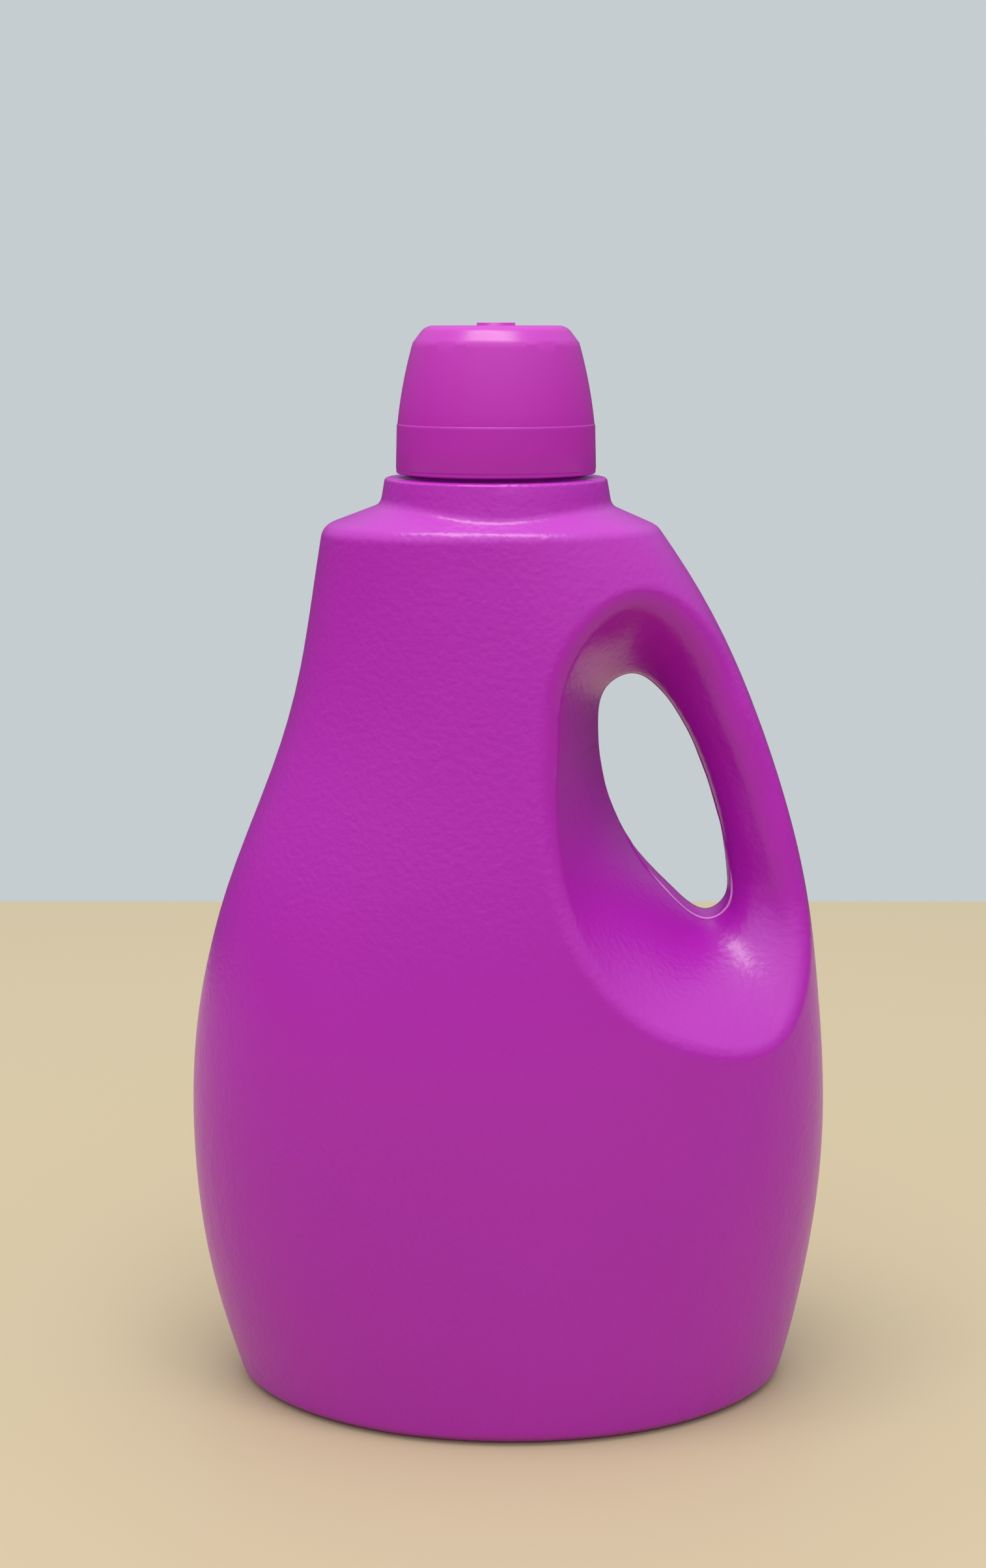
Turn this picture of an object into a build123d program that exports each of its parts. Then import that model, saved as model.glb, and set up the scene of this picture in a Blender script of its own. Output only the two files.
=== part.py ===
"""Handled bottle of about three litres, blow moulded in one piece, with a pour spout and a dosing cap.

Millimetres, +Z up, +X towards the handle, -Y towards the front. The origin is the middle of the base,
on the surface that the bottle stands on. The neck stands a little to the left of it.
"""
from build123d import *
import os

# Blown body: wall, foot, standing ring, and the weld where the mould pinched the tube shut
wall = 1.2
foot_radius = 5.0
standing_ring = 5.0
push_up = 4.0
push_up_slope = 7.0
push_up_roll = 1.5
weld_length = 96.0
weld_width = 1.4
weld_height = 0.6

# Ovals of the body from the foot to the shoulder: height, reach left, reach right, half depth, and how
# full the ends are. Fullness is the length of a curve's handles as a share of the half depth or width.
crown_fullness = 0.64
body_ovals = [
    (0.0, 78.0, 79.5, 53.0, 0.38),
    (20.0, 84.0, 84.7, 55.8, 0.40),
    (45.0, 89.2, 89.0, 58.2, 0.43),
    (76.0, 91.5, 91.4, 59.5, 0.47),
    (105.0, 90.1, 90.2, 58.8, 0.51),
    (130.0, 85.4, 87.6, 56.5, 0.55),
    (160.0, 75.6, 82.0, 52.0, 0.59),
    (185.0, 65.8, 74.4, 47.6, 0.60),
    (210.0, 58.7, 64.6, 43.5, 0.60),
    (232.0, 54.8, 53.2, 40.0, 0.60),
    (249.8, 51.9, 41.4, 37.4, 0.60),
]

# Shoulder, collar and neck, all round the neck's own axis. The corner drop is how far the cavity's
# shoulder corner lies below the outer one, as a share of the wall.
neck_x = -3.65
shoulder_rise = 8.4
shoulder_inner_radius = 26.0
shoulder_inner_fullness = 0.60
shoulder_roll = 5.0
shoulder_corner_drop = 0.7
collar_root_depth = 5.0
collar_base_radius = 33.2
collar_top_radius = 30.85
collar_top = 263.2
collar_foot_reach = 1.5
collar_foot_roll = 3.5
collar_edge_roll = 1.0
neck_outer_radius = 25.0
neck_bore_radius = 22.7
neck_top = 277.5

# Scoop round the handle's eye. Each row is one place on the eye's edge and the place it runs out to on
# the mouth of the scoop: eye x, eye z, mouth x, mouth z, depth at the mouth, bend.
# A bend of 1 is a straight wall, and less is a wall that rises steeply and then rounds over.
pinch_land = 1.0
scoop_roll = 7.0
scoop_places = [
    (25.2, 188.0, 12.4, 190.0, 44.5, 1.00),
    (28.1, 173.5, 13.3, 167.0, 47.6, 1.00),
    (35.0, 159.5, 19.5, 145.0, 50.3, 0.95),
    (46.5, 146.8, 34.5, 125.5, 49.7, 0.90),
    (57.0, 140.0, 55.0, 115.0, 43.2, 0.85),
    (61.8, 143.5, 72.5, 114.0, 32.0, 0.72),
    (62.6, 150.0, 82.0, 129.0, 19.0, 0.55),
    (60.8, 163.0, 79.8, 151.0, 14.5, 0.42),
    (56.0, 180.0, 74.6, 174.0, 14.5, 0.40),
    (48.0, 197.0, 65.5, 197.0, 16.0, 0.45),
    (40.5, 206.2, 54.0, 217.0, 19.0, 0.60),
    (34.0, 208.5, 35.0, 231.0, 29.5, 0.80),
    (27.3, 204.5, 18.0, 219.0, 38.7, 0.95),
]
# Rings of the funnel as shares of the way from the eye to the mouth. The last lies outside the body.
scoop_rings = [0.0, 0.04, 0.13, 0.28, 0.45, 0.62, 0.8, 1.0, 1.2, 1.45]
scoop_spacing_ring = 0.3
scoop_slope_step = 0.02
scoop_rim_size = 40.0
clear_of_body = 140.0

# Dosing cap, its radii and its heights above its own rim
cap_gap = 1.2
cap_rim_radius = 27.65
cap_crease_radius = 27.3
cap_crease_height = 13.1
cap_flank_radius = 25.95
cap_flank_height = 22.6
cap_corner_radius = 22.9
cap_corner_height = 35.6
cap_top_radius = 19.4
cap_height = 40.2
cap_wall = 1.6
cap_ledge_radius = 24.2
cap_ledge_taper = 7.0
cap_rim_roll = 0.5
cap_top_roll = 4.2
gate_pad_radius = 5.3
gate_pad_height = 0.8
gate_dimple_radius = 1.4

# Pour spout: a ring that is pressed into the neck, a sloping floor and a cut-off tube with a slot
spout_flange = 1.5
spout_wall = 1.4
spout_depth = 12.0
spout_fit = 0.05
spout_lead_in = 0.6
spout_lead_in_height = 1.8
spout_floor_tilt = 7.0
spout_floor_drop = 8.5
spout_hole_depth = 2.8
spout_tube_x = -2.0
spout_tube_foot_radius = 12.8
spout_tube_lip_radius = 11.2
spout_tube_height = 19.0
spout_lip_tilt = 20.0
spout_slot_width = 5.0
spout_slot_reach = 6.4
seat_gap = 0.1

# Larger than the spout each way: the size of the plain shapes that trim it
trim_size = 100.0

# Heights that follow from the sizes above
shoulder_height = body_ovals[-1][0]
flange_top = neck_top + spout_flange
cap_rim = collar_top + cap_gap
cap_ledge = flange_top + seat_gap
cap_top = cap_rim + cap_height


def oval(height, left, right, half_depth, end_fullness):
    """A closed oval with unlike ends: four quarter curves that meet square to the axes."""
    middle = (right - left) / 2
    half_width = (right + left) / 2
    quarters = []
    for side_x, side_y in ((1, 1), (-1, 1), (-1, -1), (1, -1)):
        end = (middle + side_x * half_width, 0, height)
        end_handle = (end[0], side_y * half_depth * end_fullness, height)
        crown = (middle, side_y * half_depth, height)
        crown_handle = (middle + side_x * half_width * crown_fullness, crown[1], height)
        quarter = [end, end_handle, crown_handle, crown]
        quarters.append(Bezier(*(quarter if side_x == side_y else quarter[::-1])))
    return Wire(quarters)


def round_the_neck(profile):
    """A profile of radius and height, turned round the neck's axis."""
    return Pos(neck_x, 0, 0) * revolve(Plane.XZ * make_face(profile), Axis.Z)


def edges_at(shape, height):
    """The edges that lie level at one height."""
    return shape.edges().filter_by(
        lambda edge: max(abs(edge.bounding_box().min.Z - height), abs(edge.bounding_box().max.Z - height)) < 0.01
    )


def body_form(inset):
    """The body without its scoops: ovals lofted to the shoulder, then closed in towards the neck."""
    corner_height = shoulder_height - inset * shoulder_corner_drop
    ovals = []
    for height, left, right, half_depth, fullness in body_ovals:
        if height == 0:
            height = inset
        if height == shoulder_height:
            height = corner_height
        ovals.append(oval(height, left - inset, right - inset, half_depth - inset, fullness))
    side = Solid.make_loft(ovals)
    close = oval(
        shoulder_height + shoulder_rise - inset,
        shoulder_inner_radius - neck_x,
        shoulder_inner_radius + neck_x,
        shoulder_inner_radius,
        shoulder_inner_fullness,
    )
    top = Solid.make_loft([ovals[-1], close], ruled=True)
    body = side.fuse(top).solids()[0]
    body = fillet(edges_at(body, inset), foot_radius - inset)
    return fillet(edges_at(body, corner_height), shoulder_roll - inset)


def scoop_point(place, share):
    """A point of the front scoop's wall, a share of the way from the eye to the mouth."""
    eye_x, eye_z, mouth_x, mouth_z, depth, bend = place
    return Vector(
        eye_x + (mouth_x - eye_x) * share,
        -pinch_land - (depth - pinch_land) * share**bend,
        eye_z + (mouth_z - eye_z) * share,
    )


def scoop_cutter(inset):
    """The front scoop and the hole of the eye as solids, grown by the wall for the cavity."""
    count = len(scoop_places)
    spans = [
        (
            scoop_point(scoop_places[i], scoop_spacing_ring)
            - scoop_point(scoop_places[(i + 1) % count], scoop_spacing_ring)
        ).length
        for i in range(count)
    ]
    parameters = [sum(spans[:i]) / sum(spans) for i in range(count + 1)]
    rings = []
    for share in scoop_rings:
        ring = []
        for i, place in enumerate(scoop_places):
            point = scoop_point(place, share)
            along = scoop_point(place, share + scoop_slope_step) - point
            after = scoop_point(scoop_places[(i + 1) % count], share)
            before = scoop_point(scoop_places[i - 1], share)
            into_wall = (after - before).cross(along).normalized()
            moved = point + into_wall * inset
            ring.append(Vector(moved.X, -pinch_land, moved.Z) if share == 0 else moved)
        rings.append(Wire([Edge.make_spline(ring, periodic=True, parameters=parameters)]))
    funnel = Shell.make_loft(rings).faces()[0]
    eye = Face(rings[0])
    cutter = Solid.extrude(funnel, (0, -clear_of_body, 0))
    return cutter.fuse(Solid.extrude(eye, (0, -clear_of_body, 0))), Solid.extrude(eye, (0, 2 * pinch_land, 0))


def scoop_rim(form, side):
    """The edge where a scoop meets the body, on the front (-1) or the back (1)."""
    for edge in form.edges():
        box = edge.bounding_box()
        if side * box.center().Y > scoop_roll and min(box.size.X, box.size.Z) > scoop_rim_size:
            return edge


def bottle_form(inset):
    """The body with both scoops and the eye, its scoop rims rolled over."""
    front_cutter, eye = scoop_cutter(inset)
    form = body_form(inset)
    for side, cutter in ((-1, front_cutter), (1, front_cutter.mirror(Plane.XZ))):
        form = form.cut(cutter).solids()[0]
        form = form.fillet(scoop_roll - inset, [scoop_rim(form, side)])
    return form.cut(eye).solids()[0]


def base_recess(inset):
    """The push-up in the base, made smaller all round and higher by the inset."""
    height, left, right, half_depth, fullness = body_ovals[0]
    side = foot_radius + standing_ring - inset
    slope = side + push_up_slope
    low = oval(height, left - side, right - side, half_depth - side, fullness)
    high = oval(push_up + inset, left - slope, right - slope, half_depth - slope, fullness)
    recess = Solid.make_loft([low, high], ruled=True)
    return fillet(edges_at(recess, push_up + inset), push_up_roll)


def goes_round_collar(edge):
    """Whether an edge lies on the foot of the collar, where it rises out of the shoulder."""
    box = edge.bounding_box()
    reach = max(abs(box.min.X - neck_x), abs(box.max.X - neck_x), abs(box.min.Y), abs(box.max.Y))
    between = shoulder_height < box.min.Z and box.max.Z < collar_top - collar_edge_roll
    return between and abs(reach - collar_base_radius) < collar_foot_reach


def make_bottle():
    """Blown shell with its collar and neck, open at the mouth."""
    collar_root = shoulder_height - collar_root_depth
    collar_draft = (collar_base_radius - collar_top_radius) / (collar_top - shoulder_height)
    root_radius = collar_top_radius + collar_draft * (collar_top - collar_root)
    outer = bottle_form(0).cut(base_recess(0)).solids()[0]
    collar = round_the_neck(
        Polyline(
            (0, collar_root), (root_radius, collar_root), (collar_top_radius, collar_top),
            (0, collar_top), close=True,
        )
    )
    outer = outer.fuse(collar.solids()[0]).solids()[0]
    collar_edges = [edge for edge in outer.edges() if goes_round_collar(edge)]
    outer = outer.fillet(collar_foot_roll, collar_edges)
    outer = outer.fillet(collar_edge_roll, edges_at(outer, collar_top))
    neck = round_the_neck(
        Polyline(
            (0, collar_top - wall), (neck_outer_radius, collar_top - wall), (neck_outer_radius, neck_top),
            (0, neck_top), close=True,
        )
    )
    outer = outer.fuse(neck.solids()[0]).solids()[0]
    throat = round_the_neck(
        Polyline(
            (0, collar_root), (root_radius - wall, collar_root), (collar_top_radius - wall, collar_top - wall),
            (neck_bore_radius, collar_top - wall), (neck_bore_radius, neck_top + wall), (0, neck_top + wall),
            close=True,
        )
    )
    cavity = bottle_form(wall).cut(base_recess(wall)).solids()[0]
    weld = Pos(0, 0, push_up) * Box(weld_length, weld_width, 2 * weld_height)
    bottle = outer.cut(cavity).solids()[0].cut(throat.solids()[0]).solids()[0]
    print("capacity to the brim in litres", round((cavity.volume + throat.volume) / 1e6, 3))
    return bottle.fuse(weld.solids()[0]).solids()[0]


def make_dosing_cap():
    """The cap that is also the measuring cup: thin skirt, ledge that seals, cup and gate mark."""
    bore = cap_rim_radius - cap_wall
    cup_top = cap_height - cap_wall
    cup_top_radius = cap_top_radius - cap_wall
    cup_corner = (cap_corner_radius - cap_wall, cap_corner_height - cap_wall)
    ledge = cap_ledge - cap_rim
    profile = [
        Line((bore, 0), (cap_rim_radius, 0)),
        Line((cap_rim_radius, 0), (cap_crease_radius, cap_crease_height)),
        ThreePointArc(
            (cap_crease_radius, cap_crease_height), (cap_flank_radius, cap_flank_height),
            (cap_corner_radius, cap_corner_height),
        ),
        Line((cap_corner_radius, cap_corner_height), (cap_top_radius, cap_height)),
        Line((cap_top_radius, cap_height), (0, cap_height)),
        Line((0, cap_height), (0, cup_top)),
        Line((0, cup_top), (cup_top_radius, cup_top)),
        Line((cup_top_radius, cup_top), cup_corner),
        Line(cup_corner, (cap_ledge_radius, ledge + cap_ledge_taper)),
        Line((cap_ledge_radius, ledge + cap_ledge_taper), (cap_ledge_radius, ledge)),
        Line((cap_ledge_radius, ledge), (bore, ledge)),
        Line((bore, ledge), (bore, 0)),
    ]
    cap = Pos(0, 0, cap_rim) * round_the_neck(profile)
    cap = fillet(edges_at(cap, cap_top), cap_top_roll)
    cap = fillet(edges_at(cap, cap_rim), cap_rim_roll)
    pad = Pos(neck_x, 0, cap_top) * Cylinder(gate_pad_radius, 2 * gate_pad_height)
    dimple = Pos(neck_x, 0, cap_top + gate_pad_height) * Cylinder(gate_dimple_radius, gate_pad_height)
    return cap + pad - dimple


def make_pour_spout():
    """Ring, flange, sloping floor and cut-off tube, with a slot that lets drips run back."""
    ring_radius = neck_bore_radius - spout_fit
    ring_foot = neck_top - spout_depth
    floor_height = neck_top - spout_floor_drop
    lip_height = floor_height + spout_tube_height
    tube_x = neck_x + spout_tube_x
    ring = round_the_neck(
        Polyline(
            (ring_radius - spout_wall, ring_foot), (ring_radius - spout_lead_in, ring_foot),
            (ring_radius, ring_foot + spout_lead_in_height), (ring_radius, neck_top),
            (neck_outer_radius, neck_top), (neck_outer_radius, flange_top),
            (ring_radius - spout_wall, flange_top), close=True,
        )
    )
    floor_place = Location((neck_x, 0, floor_height), (0, spout_floor_tilt, 0))
    floor = floor_place * Cylinder(trim_size, spout_wall)
    floor &= Pos(neck_x, 0, floor_height) * Cylinder(ring_radius - spout_wall / 2, trim_size)
    cone_place = Pos(tube_x, 0, lip_height)
    tube = cone_place * Cone(spout_tube_foot_radius, spout_tube_lip_radius, 2 * spout_tube_height)
    bore = cone_place * Cone(
        spout_tube_foot_radius - spout_wall, spout_tube_lip_radius - spout_wall, 2 * spout_tube_height
    )
    hole = Pos(tube_x, 0, floor_height) * Cylinder(spout_tube_foot_radius - spout_wall, 2 * spout_hole_depth)
    above_floor = floor_place * Pos(0, 0, trim_size / 2) * Box(trim_size, trim_size, trim_size)
    above_lip = Location((neck_x, 0, lip_height), (0, spout_lip_tilt, 0))
    above_lip *= Pos(0, 0, trim_size / 2) * Box(trim_size, trim_size, trim_size)
    slot = Pos(tube_x + spout_slot_reach, 0, floor_height)
    slot *= Box(spout_tube_foot_radius, spout_slot_width, trim_size, align=(Align.MIN, Align.CENTER, Align.CENTER))
    return ring + floor + ((tube & above_floor) - above_lip) - bore - hole - slot


parts = {
    "bottle": make_bottle(),
    "pour_spout": make_pour_spout(),
    "dosing_cap": make_dosing_cap(),
}
os.makedirs("parts", exist_ok=True)
for name, part in parts.items():
    export_step(part, f"parts/{name}.step")
    solid = part.solids()[0]
    print(name, len(part.solids()), solid.is_valid, round(solid.volume / 1000, 2), solid.bounding_box())
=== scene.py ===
"""Handled bottle of about three litres with its dosing cap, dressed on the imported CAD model.

The camera stands where the photograph was taken from. Blender works in metres, in the model's own frame.
The sizes of pieces are in millimetres and are turned into metres by MM.
"""
import math
import bpy
import numpy as np
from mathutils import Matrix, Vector


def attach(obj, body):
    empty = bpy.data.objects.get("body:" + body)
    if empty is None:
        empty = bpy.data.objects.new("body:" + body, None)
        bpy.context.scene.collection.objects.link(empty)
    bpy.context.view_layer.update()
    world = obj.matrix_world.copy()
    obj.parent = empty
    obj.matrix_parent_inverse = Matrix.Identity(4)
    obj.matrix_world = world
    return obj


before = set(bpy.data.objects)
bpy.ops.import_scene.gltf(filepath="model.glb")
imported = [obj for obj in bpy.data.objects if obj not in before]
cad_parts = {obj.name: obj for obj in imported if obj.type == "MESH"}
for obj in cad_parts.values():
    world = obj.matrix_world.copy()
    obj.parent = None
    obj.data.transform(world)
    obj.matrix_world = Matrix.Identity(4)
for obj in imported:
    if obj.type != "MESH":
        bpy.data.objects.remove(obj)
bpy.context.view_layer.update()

scene = bpy.context.scene
scene.view_settings.view_transform = "Standard"
MM = 0.001

# Sizes that the pieces here share with the solids
NECK_X = -3.65
NECK_RADIUS = 25.0
CAP_BORE_RADIUS = 26.05
CAP_RIM = 264.4
CAP_SKIRT_TOP = 277.9
EYE_MIDDLE_X = 44.0
EYE_MIDDLE_Z = 170.0

# Sizes of the pieces that only this script has
THREAD_PITCH = 4.6
THREAD_HEIGHT = 0.42
BAND_RISE = 0.13
FLASH_FORWARD = 5.0
FLASH_HALF_WIDTH = 0.45
FLASH_HEIGHT = 0.3
# Height below which the flash's colour is painted paler, a painted highlight
PAINTED_HIGHLIGHT_TOP = 153

# The stage
FLOOR_REACH = 3
FLOOR_BACK = 0.589


def colour(code):
    """Linear colour of an sRGB hex code."""
    parts = [int(code[i:i + 2], 16) / 255 for i in (0, 2, 4)]
    return [p / 12.92 if p < 0.04045 else ((p + 0.055) / 1.055) ** 2.4 for p in parts] + [1.0]


def add(tree, kind, links=(), **settings):
    """A shader node with its settings, sockets set by value, and links given as (socket, source)."""
    made = tree.nodes.new(kind)
    for name, value in settings.items():
        if hasattr(made, name):
            setattr(made, name, value)
        else:
            made.inputs[name.replace("_", " ")].default_value = value
    for socket, source in links:
        tree.links.new(source, made.inputs[socket])
    return made


def ramp(tree, source, from_low, from_high, to_low, to_high):
    """The source's values between from_low and from_high, spread from to_low to to_high and held there."""
    made = add(
        tree, "ShaderNodeMapRange", [("Value", source)],
        From_Min=from_low, From_Max=from_high, To_Min=to_low, To_Max=to_high,
    )
    return made.outputs["Result"]


def moulded_plastic(name, deep, light, roughness, peel_size, peel_height, painted_highlight_below=None):
    """Satin moulded polyolefin, coloured all through.

    deep and light are the two ends of a faint drift of colour, peel_size and peel_height the grain of
    the skin. Below the height in the last argument, the colour is painted paler: a painted highlight.
    """
    made = bpy.data.materials.new(name)
    made.use_nodes = True
    tree = made.node_tree
    tree.nodes.clear()
    place = add(tree, "ShaderNodeTexCoord").outputs["Object"]
    drift = add(tree, "ShaderNodeTexNoise", [("Vector", place)], Scale=14.0, Detail=2.0).outputs["Fac"]
    tint = add(tree, "ShaderNodeMix", [("Factor", drift)], data_type="RGBA")
    tint.inputs["A"].default_value = colour(deep)
    tint.inputs["B"].default_value = colour(light)
    # Painted highlight: below this height the colour is mixed towards pale pink F0A0EA
    if painted_highlight_below:
        height = add(tree, "ShaderNodeSeparateXYZ", [("Vector", place)]).outputs["Z"]
        share = ramp(tree, height, (painted_highlight_below - 5) * MM, painted_highlight_below * MM, 0.75, 0.0)
        painted_highlight = add(tree, "ShaderNodeMix", [("Factor", share)], data_type="RGBA")
        tree.links.new(tint.outputs["Result"], painted_highlight.inputs["A"])
        painted_highlight.inputs["B"].default_value = colour("F0A0EA")
        tint = painted_highlight
    peel = add(tree, "ShaderNodeTexNoise", [("Vector", place)], Scale=1 / (peel_size * MM), Detail=1.5)
    sheen = ramp(tree, drift, 0.0, 1.0, roughness - 0.03, roughness + 0.03)
    bump = add(
        tree, "ShaderNodeBump", [("Height", peel.outputs["Fac"])], Distance=peel_height * MM, Strength=1.0,
    )
    skin = add(tree, "ShaderNodeBsdfPrincipled", [
        ("Base Color", tint.outputs["Result"]), ("Roughness", sheen), ("Normal", bump.outputs["Normal"]),
    ], IOR=1.5, Subsurface_Weight=0.12, Subsurface_Radius=(1.0, 0.15, 0.6), Subsurface_Scale=0.003)
    end = add(tree, "ShaderNodeOutputMaterial", [("Surface", skin.outputs["BSDF"])])
    end.is_active_output = True
    return made


# Extrusion-blown HDPE, satin with the fine pebbled skin that a sand-blasted mould gives
bottle_plastic = moulded_plastic("blown_hdpe_magenta", "A812A8", "B018B0", 0.3, 1.8, 0.12)
# The same HDPE for the flash round the eye, rougher, and painted paler low down as a painted highlight
flash_plastic_painted_highlight = moulded_plastic("flash_hdpe_painted_highlight", "A812A8", "B018B0", 0.42, 1.8, 0.12, PAINTED_HIGHLIGHT_TOP)
# Injection-moulded polypropylene, with a finer skin
cap_plastic = moulded_plastic("moulded_pp_magenta", "B018A8", "B81EB0", 0.32, 0.9, 0.02)
# Injection-moulded LDPE of the spout
spout_plastic = moulded_plastic("moulded_ldpe_magenta", "B21AAA", "BA20B2", 0.42, 0.9, 0.02)


def dress(node_name, material):
    """Gives a carried solid its material, and shades it smooth over its merged vertices."""
    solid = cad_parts[node_name]
    solid.data.materials.clear()
    solid.data.materials.append(material)
    weld = solid.modifiers.new("weld", "WELD")
    weld.merge_threshold = 0.05 * MM
    solid.data.shade_smooth()
    even = solid.modifiers.new("even", "WEIGHTED_NORMAL")
    even.mode = "FACE_AREA_WITH_ANGLE"


def mesh_piece(name, points, faces, material, body):
    """A smooth mesh object from points, riding on a body."""
    mesh = bpy.data.meshes.new(name)
    mesh.from_pydata((np.asarray(points) * MM).tolist(), [], faces)
    mesh.materials.append(material)
    mesh.shade_smooth()
    piece = bpy.data.objects.new(name, mesh)
    scene.collection.objects.link(piece)
    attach(piece, body)
    return piece


def tube_faces(rings, ring_size, closed):
    """Faces of a tube whose rings follow one another, joined up or with both ends closed."""
    index = np.arange(rings * ring_size).reshape(rings, ring_size)
    first, after = (index, np.roll(index, -1, 0)) if closed else (index[:-1], index[1:])
    faces = np.stack([first, np.roll(first, -1, 1), np.roll(after, -1, 1), after], -1).reshape(-1, 4).tolist()
    if not closed:
        faces += [index[0, ::-1].tolist(), index[-1].tolist()]
    return faces


def first_hit(node_name, start, way):
    """Where a ray from start along way first meets a carried solid, or None."""
    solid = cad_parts[node_name]
    turned = solid.matrix_world.inverted()
    hit, place, _, _ = solid.ray_cast(turned @ Vector([s * MM for s in start]), turned.to_3x3() @ Vector(way))
    return np.array(solid.matrix_world @ place) / MM if hit else None


def proud_band(name, node_name, foot, top, rise, material, body):
    """A low step round a turned solid.

    Profile: rise above the wall from foot to top, rounded into it over 0.7 mm at both ends and sunk
    0.2 mm into it. The wall's radius at each height is found by looking at the solid from behind.
    Turned round the neck's axis in 192 steps.
    """
    heights = [top + 0.4, top + 0.1, top - 0.2, top - 0.6, (top + foot) / 2, foot + 0.6, foot + 0.3, foot]
    rises = [-0.2, rise / 2, rise, rise, rise, rise, rise / 2, -0.2]
    wall = [first_hit(node_name, (NECK_X, 60, z), (0, -1, 0))[1] for z in heights]
    radius = np.add(wall, rises)
    angle = np.linspace(0, 2 * np.pi, 192, endpoint=False)[:, None]
    points = np.stack([NECK_X + radius * np.cos(angle), radius * np.sin(angle), heights + 0 * angle], -1)
    return mesh_piece(name, points.reshape(-1, 3), tube_faces(192, len(heights), True), material, body)


def screw_thread(name, radius, outward, foot, turns, width, material, body):
    """A screw thread's ridge.

    Centre line: z = foot + pitch * turn, radius constant. Section: a half-ellipse of the given width and
    the thread's height on the wall, sunk 0.3 mm into it. The height fades in and out over a twelfth of a
    turn.
    """
    turn = np.linspace(0, turns, int(turns * 96))
    fade = np.clip(np.minimum(turn, turns - turn) * 12, 0.02, 1)
    around = np.linspace(0, 2 * np.pi, 10, endpoint=False)
    rise = np.where(np.sin(around) > 0, THREAD_HEIGHT * np.sin(around), 0.3 * np.sin(around))
    distance = radius + outward * rise[None, :] * fade[:, None]
    level = foot + THREAD_PITCH * turn[:, None] + np.cos(around)[None, :] * width / 2 * fade[:, None]
    angle = 2 * np.pi * turn[:, None]
    points = np.stack([NECK_X + distance * np.cos(angle), distance * np.sin(angle), level], -1)
    return mesh_piece(name, points.reshape(-1, 3), tube_faces(len(turn), 10, False), material, body)


def eye_edge(count, forward):
    """count points round the bottle's eye, evenly spaced, found on its wall by looking out from the middle.

    Direction a: (cos a, sin a) in x and z. Plane: y = -forward * s(a), where s is the smooth bump
    max(0, cos(a + 70 degrees)) ** 2, so that the line leaves the middle plane under the eye only.
    """
    found = []
    for a in np.linspace(0, 2 * np.pi, 720, endpoint=False):
        y = -forward * max(0.0, math.cos(a + math.radians(70))) ** 2
        place = first_hit("bottle", (EYE_MIDDLE_X, y, EYE_MIDDLE_Z), (math.cos(a), 0, math.sin(a)))
        if place is not None:
            found.append(place)
    ring = np.array(found + found[:1])
    reached = np.concatenate([[0], np.cumsum(np.linalg.norm(np.diff(ring, axis=0), axis=1))])
    wanted = np.linspace(0, reached[-1], count, endpoint=False)
    return np.stack([np.interp(wanted, reached, ring[:, k]) for k in range(3)], -1)


def flash_line(name, path, half_width, height, material, body):
    """The pinched flash round the eye.

    Path: closed, on the eye's edge. Section: a low ridge of the given half width that stands into the eye
    by its height, sunk 0.3 mm into the wall, and swells and thins by a third along the path.
    """
    along = np.roll(path, -1, 0) - np.roll(path, 1, 0)
    along /= np.linalg.norm(along, axis=1)[:, None]
    across = np.array([0.0, 1.0, 0.0]) - along * along[:, 1:2]
    across /= np.linalg.norm(across, axis=1)[:, None]
    inward = np.cross(along, across)
    inward *= np.sign(np.sum(inward * (path.mean(0) - path), 1))[:, None]
    phase = np.linspace(0, 2 * np.pi, len(path), endpoint=False)
    swell = 1 + 0.2 * np.sin(5 * phase) + 0.13 * np.sin(13 * phase + 1)
    section = np.linspace(0, 2 * np.pi, 8, endpoint=False)
    rise = np.where(np.sin(section) > 0, height * np.sin(section), 0.3 * np.sin(section))
    offset = (rise[None, :] * swell[:, None])[..., None]
    width = (half_width * np.cos(section))[None, :, None]
    points = path[:, None] + inward[:, None] * offset + across[:, None] * width
    return mesh_piece(name, points.reshape(-1, 3), tube_faces(len(path), 8, True), material, body)


dress("bottle", bottle_plastic)
dress("pour_spout", spout_plastic)
dress("dosing_cap", cap_plastic)
screw_thread("neck_thread", NECK_RADIUS, 1, 266.6, 1.7, 2.0, bottle_plastic, "container")
screw_thread("cap_thread", CAP_BORE_RADIUS, -1, 266.4, 1.5, 1.6, cap_plastic, "cap")
proud_band("cap_skirt_band", "dosing_cap", CAP_RIM + 0.9, CAP_SKIRT_TOP, BAND_RISE, cap_plastic, "cap")
eye_path = eye_edge(240, FLASH_FORWARD)
# The flash's lower run carries its material's painted highlight
flash_line("eye_flash", eye_path, FLASH_HALF_WIDTH, FLASH_HEIGHT, flash_plastic_painted_highlight, "container")


def plain_material(name, code, roughness):
    """Plain matt material of the stage."""
    made = bpy.data.materials.new(name)
    made.use_nodes = True
    skin = made.node_tree.nodes["Principled BSDF"]
    skin.inputs["Base Color"].default_value = colour(code)
    skin.inputs["Roughness"].default_value = roughness
    return made


floor_mesh = bpy.data.meshes.new("floor")
floor_mesh.from_pydata([
    (-FLOOR_REACH, -FLOOR_REACH, 0), (FLOOR_REACH, -FLOOR_REACH, 0),
    (FLOOR_REACH, FLOOR_BACK, 0), (-FLOOR_REACH, FLOOR_BACK, 0),
], [], [(0, 1, 2, 3)])
floor_mesh.materials.append(plain_material("pale_floor", "BBA98A", 0.6))
floor = bpy.data.objects.new("floor", floor_mesh)
scene.collection.objects.link(floor)

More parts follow.
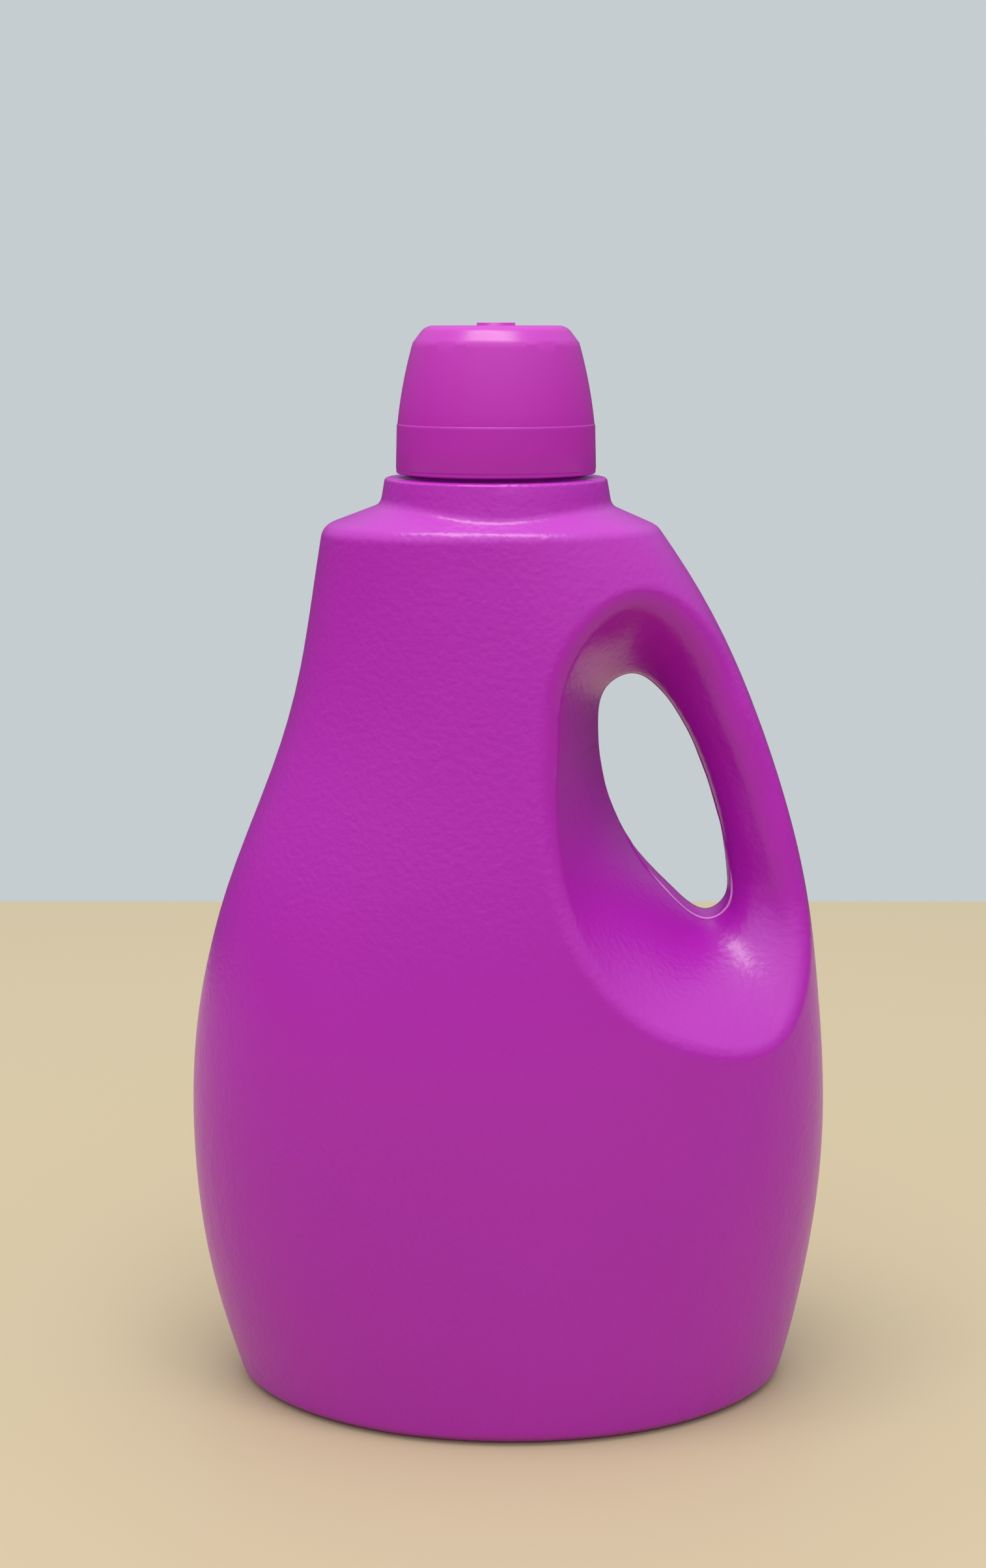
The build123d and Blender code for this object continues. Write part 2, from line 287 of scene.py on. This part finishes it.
# Pale background for the camera. For light and reflections, a grey room, brighter overhead and in front.
world = bpy.data.worlds.new("room")
scene.world = world
world.use_nodes = True
tree = world.node_tree
tree.nodes.clear()
rays = add(tree, "ShaderNodeLightPath")
way = add(tree, "ShaderNodeSeparateXYZ", [("Vector", add(tree, "ShaderNodeTexCoord").outputs["Generated"])])
overhead = ramp(tree, way.outputs["Z"], 0.0, 1.0, 0.32, 3.7)
ahead = ramp(tree, way.outputs["Y"], -1.0, 1.0, 1.35, 0.55)
power = add(tree, "ShaderNodeMath", [(0, overhead), (1, ahead)], operation="MULTIPLY")
seen = add(tree, "ShaderNodeBackground", Color=colour("C6CDD0"), Strength=1.0)
room = add(tree, "ShaderNodeBackground", [("Strength", power.outputs[0])], Color=colour("B4BABC"))
either = add(tree, "ShaderNodeMixShader", [
    (0, rays.outputs["Is Camera Ray"]), (1, room.outputs[0]), (2, seen.outputs[0]),
])
add(tree, "ShaderNodeOutputWorld", [("Surface", either.outputs[0])])


def soft_light(name, place, aim, size, power, code):
    """A rectangular studio light at a place, turned to its aim, both in metres."""
    data = bpy.data.lights.new(name, "AREA")
    data.shape = "RECTANGLE"
    data.size, data.size_y = size
    data.energy = power
    data.color = colour(code)[:3]
    light = bpy.data.objects.new(name, data)
    light.location = place
    x, y, z = (a - b for a, b in zip(aim, place))
    light.rotation_euler = (math.atan2(math.hypot(x, y), -z), 0, math.atan2(y, x) - math.pi / 2)
    scene.collection.objects.link(light)
    return light


soft_light("ceiling_light", (-0.07, -0.22, 1.25), (0, 0, 0.2), (0.8, 0.25), 6.5, "FFF8F0")

# The photograph's place and angle, solved from its outline
camera_data = bpy.data.cameras.new("camera")
camera_data.sensor_fit = "VERTICAL"
camera_data.sensor_height = 36
camera_data.lens = 36 * 3750 / 2408
camera = bpy.data.objects.new("camera", camera_data)
camera.location = (-4.47 * MM, -682 * MM, 306.7 * MM)
camera.rotation_euler = (math.radians(90 - 10.81), 0, 0)
scene.collection.objects.link(camera)
scene.camera = camera
